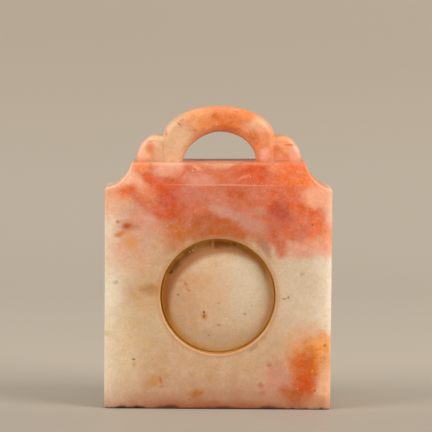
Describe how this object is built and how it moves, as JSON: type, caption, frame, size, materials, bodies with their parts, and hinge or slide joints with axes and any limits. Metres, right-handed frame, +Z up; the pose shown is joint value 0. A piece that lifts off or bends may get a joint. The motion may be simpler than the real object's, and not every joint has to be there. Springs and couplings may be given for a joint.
{
  "type": "seal stamp",
  "caption": "Carved soapstone plaque seal with a pierced bridge handle between cloud ears, and a small domed child seal nested in a round well in its front.",
  "frame": {"origin": "middle of the print face, on the plane that the seal stands on and prints with", "axes": "+Z up from the print face to the handle, +X to the right across the broad front, -Y out of the front face that holds the child seal"},
  "size_m": [0.036, 0.012, 0.0479],
  "materials": {
    "block_stone": "waxed and polished, translucent cream with orange-red and pink veining",
    "child_stone": "waxed and polished, translucent honey cream with fine specks"
  },
  "bodies": {
    "block": {"seal_block": "block_stone"},
    "child": {"child_seal": "child_stone"}
  },
  "joints": [
    {"name": "child_slide", "type": "slide", "parent": "block", "child": "child", "axis": [0, -1, 0], "range_m": [0, 0.012]}
  ]
}
